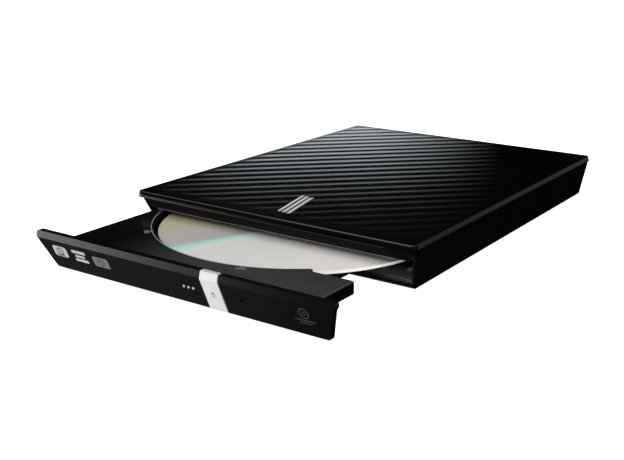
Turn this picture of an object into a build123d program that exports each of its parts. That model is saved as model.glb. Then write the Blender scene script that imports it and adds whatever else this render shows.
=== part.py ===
"""External slim optical drive: a low case with a ridged lid, its tray half out and a disc on the hub.

Millimetres.  +Z is up and the feet stand on Z = 0.  X runs left to right seen from the tray's end,
and Y runs from the tray towards the sockets.  Every sketch plane below carries the case's own
coordinates, where Y = 0 is the front edge of the lid's flat top, and `front_y` places that edge in
the model's frame, whose origin is the middle of the whole footprint with the tray as drawn.
"""
import os
from math import atan, cos, degrees, radians, sin

from build123d import *

# ---- driving dimensions: the case -----------------------------------------------------------
lid_width = 137.0          # flat top, across
lid_depth = 169.7          # flat top, front to back
lid_overhang = 0.9         # how far the lid's lower rim stands out beyond the flat top
lid_top = 20.9             # height of the flat top above the floor
lid_rim = 18.3             # height of the lid's lower rim
lid_skin = 1.6
foot_height = 0.8
tub_floor = foot_height + 1.4
tub_rim = 17.1             # top of the lower case's walls
tub_wall = 1.3
tub_half_top = 68.3
tub_half_bottom = 64.3
tub_front_top = 2.4        # the side walls' front ends lean: further forward at the top
tub_front_bottom = 9.0
tub_back = 171.0           # back wall at the rim; its foot stands a little further back
tub_back_foot = 172.6
ridge_pitch = 8.4
ridge_angle = 42.0
ridge_depth = 0.25

# ---- driving dimensions: the mechanism inside ------------------------------------------------
pan_half = 63.2
pan_floor = 2.3            # underside of the pan
sheet = 0.5
mech_top = 15.0
mech_front = 3.7
pan_front = 12.0
mech_back = 141.0
slot_top = 13.4            # lower edge of the cover's folded front lip

# ---- driving dimensions: tray and disc -------------------------------------------------------
travel_in = 51.2           # from the drawn pose to closed
tray_left = -61.6
tray_right_wing = 60.4
tray_block_right = 58.6
tray_block_back = -23.2
tray_front = -45.0
tray_rear = 82.0
tray_top = 13.0
tray_deck = 8.0            # underside of the deck
tray_wall_low = 3.4
cutaway_left = 39.2        # the tray stops here beside the disc's free edge
cutaway_back = 30.0
recess_radius = 61.8
recess_floor = 9.2
disc_x = 0.0
disc_y = 27.0
disc_radius = 60.0
disc_hole = 7.5
disc_low = 9.7
disc_thick = 1.2

# ---- driving dimensions: bezel and button ----------------------------------------------------
bezel_low = 1.1
bezel_face_low = -47.7     # the leaning front face: Y at the bottom ...
bezel_face_high = -52.9    # ... and at the foot of the bright top band
band_low = 13.9
band_high = 16.4
band_top_y = -52.2
bezel_plate = 2.2
bezel_half_low = 65.8
bezel_half_high = 71.6
bezel_box_half = 63.3
button_left = 14.4
button_width = 8.0
button_proud = 0.35        # how far the button stands out of the bezel's face

# ---- driving dimensions: laser sled ----------------------------------------------------------
sled_y = 3.0               # lens position, 24 mm from the hub's axis
rod_radius = 1.0
rod_z = 6.2
rod_left = -20.0
rod_right = 21.0
rod_front = -37.4
rod_back = 16.5
screw_pitch = 3.0

case_mid_y = (tub_back_foot + bezel_face_high - button_proud) / 2
front_y = -case_mid_y


def level(z):
    """Horizontal sketch plane at height z: local x is X, local y is the case's Y."""
    return Plane(origin=(0, front_y, z), x_dir=(1, 0, 0), z_dir=(0, 0, 1))


def side(x):
    """Upright plane facing +X: local x is the case's Y, local y is Z."""
    return Plane(origin=(x, front_y, 0), x_dir=(0, 1, 0), z_dir=(1, 0, 0))


def across(y):
    """Upright plane facing the front: local x is X, local y is Z."""
    return Plane(origin=(0, front_y + y, 0), x_dir=(1, 0, 0), z_dir=(0, -1, 0))


def slab(x0, x1, y0, y1, z0, z1, mode=Mode.ADD):
    """A box between two corners, inside the part that is being built."""
    with BuildSketch(level(z0)) as base:
        with Locations(((x0 + x1) / 2, (y0 + y1) / 2)):
            Rectangle(x1 - x0, y1 - y0)
    extrude(base.sketch, amount=z1 - z0, mode=mode)


def post(x, y, z0, z1, radius, mode=Mode.ADD):
    """An upright cylinder from z0 to z1."""
    with BuildSketch(level(z0)) as base:
        with Locations((x, y)):
            Circle(radius)
    extrude(base.sketch, amount=z1 - z0, mode=mode)


def outline(plane, points, depth, mode=Mode.ADD, both=False):
    """A straight-edged outline on a plane, extruded along its normal."""
    with BuildSketch(plane) as base:
        Polygon(*points, align=None)
    extrude(base.sketch, amount=depth, mode=mode, both=both)


os.makedirs("parts", exist_ok=True)

# ==== the case ================================================================================
screw_spots = [(x, y) for x in (-56.0, 56.0) for y in (147.0, 164.8)]

with BuildPart() as top_cover:
    rim_width = lid_width + 2 * lid_overhang
    rim_depth = lid_depth + 2 * lid_overhang
    with BuildSketch(level(lid_rim)):
        with Locations((0, lid_depth / 2)):
            RectangleRounded(rim_width, rim_depth, 2.6)
    extrude(amount=lid_top - lid_rim, taper=degrees(atan(lid_overhang / (lid_top - lid_rim))))
    # hollow under the skin
    inner_half = tub_half_top - tub_wall - 0.5
    inner_back = tub_back - tub_wall - 1.0
    slab(-inner_half, inner_half, 5.4, inner_back, lid_rim, lid_top - lid_skin, Mode.SUBTRACT)
    # a locating rib that drops inside the lower case's walls, at both sides and the back
    for x0 in (-inner_half, inner_half - 1.0):
        slab(x0, x0 + 1.0, 14.0, inner_back, lid_rim - 3.0, lid_top - lid_skin)
    slab(-inner_half, inner_half, inner_back - 1.0, inner_back, lid_rim - 3.0, lid_top - lid_skin)
    # screw posts at the back corners
    for x, y in screw_spots:
        post(x, y, 9.0, lid_top - lid_skin, 2.6)
        post(x, y, 9.0, 16.5, 0.9, Mode.SUBTRACT)
    # diagonal ridges, stopped short of the edges
    with BuildSketch(level(lid_top)):
        with Locations((0, lid_depth / 2)):
            with Locations(Location((0, 0, 0), (0, 0, ridge_angle))):
                with GridLocations(1, ridge_pitch, 1, 27):
                    Rectangle(230, ridge_pitch * 0.45)
            Rectangle(lid_width - 7, lid_depth - 7, mode=Mode.INTERSECT)
    extrude(amount=-ridge_depth, mode=Mode.SUBTRACT)
    # shallow seat for the badge
    badge_corners = [(-4.6, 31.5), (0.6, 35.4), (6.8, 8.6), (1.6, 4.7)]
    outline(level(lid_top), badge_corners, -0.6, Mode.SUBTRACT)
top_cover.part.label = "top_cover"
export_step(top_cover.part, "parts/top_cover.step")

with BuildPart() as lid_badge:
    outline(level(lid_top - 0.6), badge_corners, 0.8)
    chamfer(lid_badge.faces().sort_by(Axis.Z)[-1].edges(), 0.15)
lid_badge.part.label = "lid_badge"
export_step(lid_badge.part, "parts/lid_badge.step")

usb_x = -18.0
usb_z = 8.0
jack_x = 12.0
jack_z = 10.2
board_low = 4.6
board_top = 5.8
standoffs = [(x, y) for x in (-46.0, 46.0) for y in (147.5, 160.0)]

with BuildPart() as bottom_case:
    wall_profile = [
        (-tub_half_bottom, foot_height),
        (tub_half_bottom, foot_height),
        (tub_half_top, tub_rim),
        (-tub_half_top, tub_rim),
    ]
    outline(across(tub_front_top), wall_profile, -(tub_back_foot - tub_front_top))
    lean = (tub_half_top - tub_half_bottom) / (tub_rim - foot_height)
    floor_half = tub_half_bottom + lean * (tub_floor - foot_height) - tub_wall
    mouth_half = tub_half_top - tub_wall
    hollow = [
        (-floor_half, tub_floor),
        (floor_half, tub_floor),
        (mouth_half, tub_rim + 0.01),
        (-mouth_half, tub_rim + 0.01),
    ]
    outline(across(tub_front_top - 1), hollow, -(tub_back - tub_wall - tub_front_top + 1), Mode.SUBTRACT)
    # the leaning front ends of the side walls, and the floor's front edge under them
    front_cut = [
        (tub_front_top - 3, 0),
        (tub_front_bottom, 0),
        (tub_front_bottom, foot_height),
        (tub_front_top, tub_rim),
        (tub_front_top, tub_rim + 2),
        (tub_front_top - 3, tub_rim + 2),
    ]
    outline(side(0), front_cut, 80, Mode.SUBTRACT, both=True)
    back_cut = [
        (tub_back_foot, foot_height),
        (tub_back_foot + 3, foot_height),
        (tub_back_foot + 3, tub_rim + 1),
        (tub_back, tub_rim + 1),
        (tub_back, tub_rim),
    ]
    outline(side(0), back_cut, 80, Mode.SUBTRACT, both=True)
    upright_back = bottom_case.edges().filter_by(
        lambda e: e.center().Y > front_y + tub_back and e.bounding_box().size.Z > 10
        and abs(e.center().X) > tub_half_bottom
    )
    fillet(upright_back, 1.6)
    # sockets' windows in the back wall
    with BuildSketch(across(tub_back_foot + 0.2)):
        with Locations((usb_x, usb_z)):
            RectangleRounded(8.6, 5.2, 0.5)
        with Locations((jack_x, jack_z)):
            Circle(4.1)
    extrude(amount=4.2, mode=Mode.SUBTRACT)
    # standoffs for the bridge board, and sleeves for the lid's screws
    for x, y in standoffs:
        post(x, y, tub_floor - 0.2, board_low, 2.4)
        post(x, y, tub_floor + 0.2, board_low + 0.1, 0.8, Mode.SUBTRACT)
    for x, y in screw_spots:
        post(x, y, tub_floor - 0.2, 8.9, 3.2)
        post(x, y, foot_height - 0.1, 9.0, 1.3, Mode.SUBTRACT)
        post(x, y, foot_height - 0.1, 4.0, 2.3, Mode.SUBTRACT)
    # low ribs that hold the mechanism off the floor's edges
    for y in (30.0, 120.0):
        slab(-60.0, 60.0, y, y + 1.0, tub_floor - 0.1, pan_floor)
    # cooling slots under the bridge board
    with BuildSketch(level(foot_height - 0.1)):
        with Locations((0, 153.5)):
            with GridLocations(5.0, 1, 9, 1):
                SlotOverall(12.0, 1.8, rotation=90)
    extrude(amount=2.0, mode=Mode.SUBTRACT)
bottom_case.part.label = "bottom_case"
export_step(bottom_case.part, "parts/bottom_case.step")

with BuildPart() as front_fascia:
    outline(
        across(2.9),
        [(-65.4, 13.6), (65.4, 13.6), (66.6, lid_rim - 0.1), (-66.6, lid_rim - 0.1)],
        -0.7,
    )
    for x0 in (-60.0, -2.0, 56.0):
        slab(x0, x0 + 4.0, 3.6, 5.0, 15.6, lid_rim - 0.1)
front_fascia.part.label = "front_fascia"
export_step(front_fascia.part, "parts/front_fascia.step")

with BuildPart() as feet:
    foot_spots = [(x, y) for x in (-54.0, 54.0) for y in (20.0, 155.8)]
    for x, y in foot_spots:
        with BuildSketch(level(0)):
            with Locations((x, y)):
                Circle(5.0)
        extrude(amount=foot_height, taper=-12)
feet.part.label = "feet"
export_step(feet.part, "parts/feet.step")

with BuildPart() as case_screws:
    for x, y in screw_spots:
        post(x, y, 2.3, 4.0, 2.1)
        post(x, y, 4.0, 15.5, 0.88)
        with BuildSketch(level(2.3)):
            with Locations((x, y)):
                Rectangle(2.6, 0.5)
                Rectangle(0.5, 2.6)
        extrude(amount=0.8, mode=Mode.SUBTRACT)
case_screws.part.label = "case_screws"
export_step(case_screws.part, "parts/case_screws.step")

# ==== bridge board and sockets ================================================================
sata_x = 28.0
sata_half = 14.0

with BuildPart() as bridge_board:
    slab(-51.0, 51.0, 145.0, 167.5, board_low, board_top)
    for x, y in standoffs:
        post(x, y, board_low - 0.1, board_top + 0.1, 1.2, Mode.SUBTRACT)
bridge_board.part.label = "bridge_board"
export_step(bridge_board.part, "parts/bridge_board.step")

with BuildPart() as board_screws:
    for x, y in standoffs:
        post(x, y, tub_floor + 0.8, board_top, 0.78)
        post(x, y, board_top, board_top + 1.2, 2.0)
board_screws.part.label = "board_screws"
export_step(board_screws.part, "parts/board_screws.step")

with BuildPart() as bridge_chip:
    slab(-7.0, 3.0, 148.0, 158.0, board_top + 0.1, board_top + 1.5)
    chamfer(bridge_chip.faces().sort_by(Axis.Z)[-1].edges(), 0.2)
    for i in range(12):
        lead = -6.4 + i * 0.8
        slab(lead, lead + 0.35, 147.0, 159.0, board_top, board_top + 0.5)
bridge_chip.part.label = "bridge_chip"
export_step(bridge_chip.part, "parts/bridge_chip.step")

with BuildPart() as crystal:
    with BuildSketch(level(board_top)):
        with Locations((-12.5, 151.5)):
            SlotOverall(10.5, 4.2, rotation=90)
    extrude(amount=3.4)
    fillet(crystal.faces().sort_by(Axis.Z)[-1].edges(), 0.6)
crystal.part.label = "crystal"
export_step(crystal.part, "parts/crystal.step")

with BuildPart() as capacitors:
    for x, y in ((-30.0, 150.0), (-37.0, 150.0), (24.0, 157.0)):
        post(x, y, board_top, board_top + 5.4, 2.5)
    fillet(capacitors.faces().sort_by(Axis.Z)[-3:].edges(), 0.5)
capacitors.part.label = "capacitors"
export_step(capacitors.part, "parts/capacitors.step")

with BuildPart() as usb_socket:
    slab(usb_x - 3.9, usb_x + 3.9, 161.0, tub_back - 0.4, board_top, board_top + 4.2)
    with BuildSketch(across(tub_back)):
        with Locations((usb_x, board_top + 2.1)):
            Rectangle(6.9, 3.2)
    extrude(amount=6.4, mode=Mode.SUBTRACT)
    slab(usb_x - 2.4, usb_x + 2.4, 163.0, 169.0, board_top + 1.7, board_top + 2.4)
usb_socket.part.label = "usb_socket"
export_step(usb_socket.part, "parts/usb_socket.step")

with BuildPart() as power_jack:
    slab(jack_x - 4.5, jack_x + 4.5, 157.0, 169.4, board_top, jack_z + 4.4)
    with BuildSketch(across(tub_back - 0.3)):
        with Locations((jack_x, jack_z)):
            Circle(3.9)
    extrude(amount=3.0)
    with BuildSketch(across(tub_back)):
        with Locations((jack_x, jack_z)):
            Circle(2.85)
    extrude(amount=9.5, mode=Mode.SUBTRACT)
power_jack.part.label = "power_jack"
export_step(power_jack.part, "parts/power_jack.step")

with BuildPart() as power_jack_pin:
    with BuildSketch(across(tub_back - 1.2)):
        with Locations((jack_x, jack_z)):
            Circle(1.05)
    extrude(amount=8.3)
    fillet(power_jack_pin.faces().sort_by(Axis.Y)[-1].edges(), 0.4)
power_jack_pin.part.label = "power_jack_pin"
export_step(power_jack_pin.part, "parts/power_jack_pin.step")

with BuildPart() as sata_socket:
    slab(sata_x - sata_half, sata_x + sata_half, 142.6, 149.0, board_top, board_top + 4.6)
    slab(sata_x - sata_half + 1.2, sata_x + sata_half - 1.2, 142.5, 146.0, board_top + 1.0, board_top + 3.4,
         Mode.SUBTRACT)
sata_socket.part.label = "sata_socket"
export_step(sata_socket.part, "parts/sata_socket.step")

# ==== the mechanism's fixed parts =============================================================
with BuildPart() as chassis_pan:
    slab(-pan_half, pan_half, pan_front, mech_back, pan_floor, 13.0)
    slab(-pan_half + sheet, pan_half - sheet, pan_front - 1, mech_back - sheet, pan_floor + sheet, 14.0,
         Mode.SUBTRACT)
    # window for the drive's own connector, and bosses that stiffen the floor
    slab(sata_x - sata_half - 1, sata_x + sata_half + 1, mech_back - 2, mech_back + 1, 4.0, 14.0,
         Mode.SUBTRACT)
    # round window under the sled, closed from above by the tray
    post(0, 78.0, pan_floor - 0.1, pan_floor + sheet + 0.1, 9.0, Mode.SUBTRACT)
chassis_pan.part.label = "chassis_pan"
export_step(chassis_pan.part, "parts/chassis_pan.step")

with BuildPart() as chassis_lid:
    slab(-63.8, 63.8, mech_front, mech_back + 0.6, 9.0, mech_top)
    slab(-63.8 + sheet, 63.8 - sheet, mech_front - 1, mech_back + 0.1, 8.0, mech_top - sheet, Mode.SUBTRACT)
    # the folded front lip, a little shorter than the cover is wide
    slab(-60.4, 60.4, mech_front, mech_front + sheet, slot_top, mech_top)
    # the skirts start behind the mouth, and the connector has its window
    for x0 in (-64.0, 63.0):
        slab(x0, x0 + 1.0, mech_front - 1, 14.0, 8.0, slot_top, Mode.SUBTRACT)
    slab(sata_x - sata_half - 1, sata_x + sata_half + 1, mech_back - 1, mech_back + 1, 8.0, 13.4,
         Mode.SUBTRACT)
    # a shallow pressed ring over the disc, stiffening the sheet
    with BuildSketch(level(mech_top)):
        with Locations((0, disc_y + travel_in)):
            Circle(40.0)
            Circle(36.0, mode=Mode.SUBTRACT)
    extrude(amount=-0.2, mode=Mode.SUBTRACT)
chassis_lid.part.label = "chassis_lid"
export_step(chassis_lid.part, "parts/chassis_lid.step")

guide_front = 14.0
guide_back = 136.0
guide_low = 3.9
guide_high = 7.7


def rail_guide(hand):
    """Channel on the pan's side wall, open towards the middle.  hand is -1 on the left."""
    wall = hand * (pan_half - sheet - 0.1)
    lip = hand * 60.3
    with BuildPart() as guide:
        slab(min(wall, lip), max(wall, lip), guide_front, guide_back, guide_low, guide_high)
        inner_wall = wall - hand * 0.6
        open_side = hand * 60.0
        slab(
            min(inner_wall, open_side), max(inner_wall, open_side),
            guide_front - 1, guide_back + 1, guide_low + 0.5, guide_high - 0.5, Mode.SUBTRACT,
        )
    return guide.part


def slide_rail(hand, closed_front):
    """Flat steel strip that runs in the guide and carries the tray, on half the tray's travel."""
    outer = hand * 61.7
    inner = hand * 59.7
    drawn_front = closed_front - travel_in / 2
    drawn_back = rail_closed_back - travel_in / 2
    with BuildPart() as rail:
        slab(min(outer, inner), max(outer, inner), drawn_front, drawn_back, 4.7, 7.1)
    return rail.part


rail_closed_back = 125.0

for name, hand in (("guide_left", -1), ("guide_right", 1)):
    guide_part = rail_guide(hand)
    guide_part.label = name
    export_step(guide_part, f"parts/{name}.step")

for name, hand, closed_front in (("rail_left", -1, 8.8), ("rail_right", 1, 36.0)):
    rail_part = slide_rail(hand, closed_front)
    rail_part.label = name
    export_step(rail_part, f"parts/{name}.step")

with BuildPart() as main_board:
    slab(-58.0, 55.0, 115.0, 138.0, 3.3, 4.2)
main_board.part.label = "main_board"
export_step(main_board.part, "parts/main_board.step")

with BuildPart() as main_chips:
    chips = [(-22.0, 127.0, 14.0, 14.0), (-40.0, 124.0, 8.0, 10.0), (2.0, 126.0, 9.0, 7.0)]
    for x, y, width, depth in chips:
        slab(x - width / 2, x + width / 2, y - depth / 2, y + depth / 2, 4.2, 5.4)
main_chips.part.label = "main_chips"
export_step(main_chips.part, "parts/main_chips.step")

with BuildPart() as drive_connector:
    slab(sata_x - sata_half, sata_x + sata_half, 133.0, 141.6, 4.2, 7.6)
    slab(sata_x - sata_half + 2, sata_x + sata_half - 2, 141.6, 145.4, board_top + 1.5, board_top + 2.7)
    slab(sata_x - sata_half + 2, sata_x + sata_half - 2, 140.0, 141.6, 7.0, board_top + 2.7)
drive_connector.part.label = "drive_connector"
export_step(drive_connector.part, "parts/drive_connector.step")

strike_x = -45.0
strike_y = 22.0
latch_x = -53.0
latch_y = -36.0
latch_swing = 16.0         # the lever is drawn swung clear of its post by this many degrees
with BuildPart() as latch_post:
    post(strike_x, strike_y, pan_floor + sheet, 5.3, 1.0)
    post(strike_x, strike_y, pan_floor + sheet, 3.2, 2.2)
latch_post.part.label = "latch_post"
export_step(latch_post.part, "parts/latch_post.step")

ribbon_left = -57.4
ribbon_width = 9.0
ribbon = 0.2
fold_y = 30.0              # where the loop turns back, with the tray as drawn
ribbon_end = 77.0          # its far end, glued under the tray's deck
board_front = 115.0
board_face = 4.2
with BuildPart() as flex_cable:
    run_low = pan_floor + sheet + 0.1
    run_high = tray_deck - 0.2
    fold_radius = (run_high - run_low) / 2
    # the run on the pan, with the end that steps up onto the main board
    pan_run = [
        (fold_y, run_low),
        (board_front - 3, run_low),
        (board_front - 0.2, board_face),
        (board_front + 3, board_face),
        (board_front + 3, board_face + ribbon),
        (board_front - 0.4, board_face + ribbon),
        (board_front - 3.1, run_low + ribbon),
        (fold_y, run_low + ribbon),
    ]
    outline(side(ribbon_left), pan_run, ribbon_width)
    slab(ribbon_left, ribbon_left + ribbon_width, fold_y, ribbon_end, run_high - ribbon, run_high)
    # the free loop between the run on the pan and the run under the deck
    with BuildSketch(side(ribbon_left)):
        with Locations((fold_y, run_low + fold_radius)):
            Circle(fold_radius)
            Circle(fold_radius - ribbon, mode=Mode.SUBTRACT)
        with Locations((fold_y + fold_radius, run_low + fold_radius)):
            Rectangle(2 * fold_radius, 2 * fold_radius + 1, mode=Mode.SUBTRACT)
    extrude(amount=ribbon_width)
flex_cable.part.label = "flex_cable"
export_step(flex_cable.part, "parts/flex_cable.step")

# ==== the tray ================================================================================
cover_low = 8.6
frame_posts = [(x, y) for x in (-31.0, 33.0) for y in (-38.0, 52.0)]


def sled_window(z, margin):
    """Outline of the opening over the sled, grown by `margin`, as a sketch at height z."""
    with BuildSketch(level(z)) as window:
        with Locations((1.0, 6.0)):
            Rectangle(56.0 + 2 * margin, 80.0 + 2 * margin)
        with Locations((disc_x, disc_y)):
            Circle(59.6 + margin, mode=Mode.INTERSECT)
    return window.sketch


tab_angles = (230.0, 286.0)


def tab_plane(angle, z):
    """Level plane at height z whose local x points outwards from the hub's axis at this angle."""
    turned = (cos(radians(angle)), sin(radians(angle)), 0)
    return Plane(origin=(disc_x, front_y + disc_y, z), x_dir=turned, z_dir=(0, 0, 1))


def tab_outline(margin):
    """Corners of one disc tab in its own plane, grown by `margin`: a finger with a wider root."""
    tip, shoulder, root = 62.0 - margin, 63.5, 65.6 + margin
    narrow, wide = 1.0 + margin, 2.2 + margin
    return [(tip, -narrow), (shoulder, -narrow), (shoulder + 0.7, -wide), (root, -wide),
            (root, wide), (shoulder + 0.7, wide), (shoulder, narrow), (tip, narrow)]


with BuildPart() as tray:
    # deck: full width at the front, cut away on the right beside the disc
    deck_outline = [
        (tray_left, tray_front),
        (tray_block_right, tray_front),
        (tray_block_right, tray_block_back),
        (cutaway_left, tray_block_back),
        (cutaway_left, cutaway_back),
        (tray_right_wing, cutaway_back + 8),
        (tray_right_wing, tray_rear),
        (tray_left, tray_rear),
    ]
    outline(level(tray_deck), deck_outline, tray_top - tray_deck)
    top_edges = tray.faces().sort_by(Axis.Z)[-1].edges()
    chamfer(top_edges.filter_by(lambda e: e.center().Y < front_y + tray_rear - 1), 0.5)
    # the disc's round recess, with a bevelled edge
    post(disc_x, disc_y, recess_floor, tray_top + 1, recess_radius, Mode.SUBTRACT)
    with BuildSketch(level(tray_top - 0.6)):
        with Locations((disc_x, disc_y)):
            Circle(recess_radius)
    extrude(amount=0.61, taper=-40, mode=Mode.SUBTRACT)
    # opening over the sled and the hub, with a rebate for its cover
    for z, margin in ((tray_deck - 1, -1.6), (cover_low, 0.2)):
        extrude(sled_window(z, margin), amount=3.0, mode=Mode.SUBTRACT)
    # room under the recess's floor for the lens at the front end of its run
    slab(-4.2, 4.2, -34.4, -28.0, tray_deck - 0.1, tray_deck + 0.8, Mode.SUBTRACT)
    # seats for the two tabs that keep an upright disc in
    for angle in tab_angles:
        outline(tab_plane(angle, tray_top - 1.3), tab_outline(0.3), 2.0, Mode.SUBTRACT)
    # front wall behind the bezel, and the walls that carry the sled frame and the left rail
    slab(-62.0, 58.6, tray_front, tray_front + 1.8, 1.5, tray_top)
    for hand in (-1, 1):
        wall_a = hand * 59.4
        wall_b = hand * 58.2
        wall_front = tray_front if hand < 0 else cutaway_back + 9
        slab(min(wall_a, wall_b), max(wall_a, wall_b), wall_front, tray_rear, 4.0, tray_deck)
    slab(37.6, 38.8, tray_front, cutaway_back, tray_wall_low, tray_deck)
    # posts for the sled frame
    for x, y in frame_posts:
        post(x, y, 5.35, tray_deck + 0.1, 2.0)
        post(x, y, 5.3, 7.6, 0.7, Mode.SUBTRACT)
    # boss for the latch's pin
    post(latch_x, latch_y, 5.2, tray_deck + 0.1, 1.9)
    post(latch_x, latch_y, 5.1, 6.6, 0.9, Mode.SUBTRACT)
    # holes in the front wall for the light pipes, the button's stem and the release pin
    with BuildSketch(across(tray_front - 1)):
        with Locations((button_left + button_width / 2, 8.0)):
            Rectangle(4.0, 3.0)
        with Locations((30.8, 7.8)):
            Circle(0.9)
    extrude(amount=-4, mode=Mode.SUBTRACT)
tray.part.label = "tray"
export_step(tray.part, "parts/tray.step")


with BuildPart() as disc_tabs:
    for angle in tab_angles:
        outline(tab_plane(angle, tray_top - 1.25), tab_outline(0.0), 1.15)
    # grip lines across each finger
    for angle in tab_angles:
        for reach in (62.4, 63.2, 64.6):
            groove = [(reach, -3), (reach + 0.4, -3), (reach + 0.4, 3), (reach, 3)]
            outline(tab_plane(angle, tray_top - 0.3), groove, 1.0, Mode.SUBTRACT)
disc_tabs.part.label = "disc_tabs"
export_step(disc_tabs.part, "parts/disc_tabs.step")


def face_y(z):
    """Y of the bezel's leaning front face at height z."""
    share = (z - bezel_low) / (band_low - bezel_low)
    return bezel_face_low + share * (bezel_face_high - bezel_face_low)


def front_strip(z0, z1, out, back):
    """Y-Z corners of a strip that follows the leaning face, from `out` proud of it to `back` inside."""
    return [
        (face_y(z0) - out, z0),
        (face_y(z1) - out, z1),
        (face_y(z1) + back, z1),
        (face_y(z0) + back, z0),
    ]


led_spots = [(x, 8.4) for x in (4.7, 6.9, 9.1)]
mark_depth = 0.35

with BuildPart() as bezel:
    plate_profile = [
        (bezel_face_low, bezel_low),
        (bezel_face_high, band_low),
        (band_top_y, band_high),
        (band_top_y + 2.5, band_high + 0.1),
        (face_y(band_low) + bezel_plate, band_low),
        (bezel_face_low + bezel_plate, bezel_low),
    ]
    outline(side(0), plate_profile, 74, both=True)
    # the plate's outline: wider at the top, with rounded corners
    with BuildSketch(across(-60)):
        Polygon(
            (-bezel_half_low, bezel_low - 0.01),
            (bezel_half_low, bezel_low - 0.01),
            (bezel_half_high, band_high + 0.2),
            (-bezel_half_high, band_high + 0.2),
            align=None,
        )
        fillet(vertices(), 1.3)
    extrude(amount=-30, mode=Mode.INTERSECT)
    # the box behind it, open towards the tray
    box_profile = [
        (-45.1, bezel_low),
        (-45.1, 13.2),
        (face_y(13.2) + 1.0, 13.2),
        (face_y(bezel_low) + 1.0, bezel_low),
    ]
    outline(side(0), box_profile, bezel_box_half, both=True)
    pocket_profile = [
        (-45.0, bezel_low + 1.2),
        (-45.0, 12.0),
        (face_y(12.0) + bezel_plate, 12.0),
        (face_y(bezel_low + 1.2) + bezel_plate, bezel_low + 1.2),
    ]
    outline(side(0), pocket_profile, bezel_box_half - 1.3, Mode.SUBTRACT, both=True)
    # channel for the eject button, over the whole height
    channel_low = bezel_low - 0.1
    channel_profile = [
        (face_y(channel_low) - 1.0, channel_low),
        (face_y(band_low) - 1.0, band_low),
        (band_top_y - 1.0, band_high + 1.0),
        (band_top_y + 2.6, band_high + 1.0),
        (band_top_y + 2.6, band_high - 0.5),
        (band_top_y + 1.4, band_high - 0.9),
        (face_y(band_low) + 1.4, band_low),
        (face_y(channel_low) + 1.4, channel_low),
    ]
    outline(side(button_left - 0.15), channel_profile, button_width + 0.3, Mode.SUBTRACT)
    # stem window, light pipes, release pin hole
    with BuildSketch(across(-56)):
        with Locations((button_left + button_width / 2, 8.0)):
            Rectangle(4.0, 3.0)
        with Locations(*led_spots):
            Circle(0.6)
        with Locations((30.8, 8.4)):
            Circle(0.65)
    extrude(amount=-12, mode=Mode.SUBTRACT)
    # seats for the pictograms
    for x in (-64.2, -53.3, -42.4):
        outline(side(x), front_strip(6.4, 12.0, 1.0, mark_depth), 9.6, Mode.SUBTRACT)
    outline(side(53.0), front_strip(6.4, 11.4, 1.0, mark_depth), 9.6, Mode.SUBTRACT)
bezel.part.label = "bezel"
export_step(bezel.part, "parts/bezel.step")

with BuildPart() as format_tiles:
    for x in (-64.1, -53.2, -42.3):
        outline(side(x), front_strip(6.5, 11.9, -0.05, mark_depth), 9.4)
format_tiles.part.label = "format_tiles"
export_step(format_tiles.part, "parts/format_tiles.step")

with BuildPart() as disc_pictogram:
    outline(side(53.1), front_strip(6.5, 11.3, -0.05, mark_depth), 9.4)
disc_pictogram.part.label = "disc_pictogram"
export_step(disc_pictogram.part, "parts/disc_pictogram.step")

with BuildPart() as light_pipes:
    for x, z in led_spots:
        with BuildSketch(across(face_y(z) - 0.15)):
            with Locations((x, z)):
                Circle(0.5)
        extrude(amount=-3.6)
light_pipes.part.label = "light_pipes"
export_step(light_pipes.part, "parts/light_pipes.step")

button_thick = 0.35
with BuildPart() as eject_button:
    button_low = bezel_low + 0.1
    button_profile = [
        (face_y(button_low) - button_proud, button_low),
        (face_y(band_low) - button_proud, band_low),
        (band_top_y - button_proud, band_high + 0.25),
        (band_top_y + 1.5, band_high + 0.35),
        (band_top_y + 1.5, band_high - 0.25),
        (band_top_y + 0.6, band_high - 0.4),
        (face_y(band_low) + button_thick, band_low),
        (face_y(button_low) + button_thick, button_low),
    ]
    outline(side(button_left), button_profile, button_width)
    # stem to the switch
    stem_left = button_left + button_width / 2 - 1.6
    slab(stem_left, stem_left + 3.2, face_y(8.0), -43.4, 6.9, 9.1)
eject_button.part.label = "eject_button"
export_step(eject_button.part, "parts/eject_button.step")

with BuildPart() as eject_switch:
    slab(button_left + 1.0, button_left + 7.0, -42.6, -39.6, 6.2, 7.9)
    slab(button_left + 3.2, button_left + 4.8, -42.7, -42.5, 6.9, 7.9)
eject_switch.part.label = "eject_switch"
export_step(eject_switch.part, "parts/eject_switch.step")

with BuildPart() as tray_board:
    slab(2.0, 27.0, -42.8, -39.2, 5.3, 6.1)
tray_board.part.label = "tray_board"
export_step(tray_board.part, "parts/tray_board.step")

# ==== sled frame, spindle and laser ===========================================================
frame_low = 4.0
frame_top = 4.7
feed_x = -25.5
feed_z = 5.6
feed_screw_radius = 1.0
clip_front = rod_front - 0.2
clip_back = rod_back - 1.8

with BuildPart() as sled_frame:
    slab(-35.0, 37.0, -41.5, 56.0, frame_low, frame_top)
    # window for the sled, bay for the feed motor, round seat for the spindle motor
    slab(-29.0, rod_right + 4.5, clip_front + 2.1, clip_back - 0.1, 3.0, 6.0, Mode.SUBTRACT)
    slab(-29.0, -22.0, clip_back - 0.2, 29.0, 3.0, 6.0, Mode.SUBTRACT)
    post(disc_x, disc_y, 3.0, 6.0, 11.0, Mode.SUBTRACT)
    for x, y in frame_posts:
        post(x, y, 3.0, 6.0, 1.5, Mode.SUBTRACT)
sled_frame.part.label = "sled_frame"
export_step(sled_frame.part, "parts/sled_frame.step")

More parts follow.
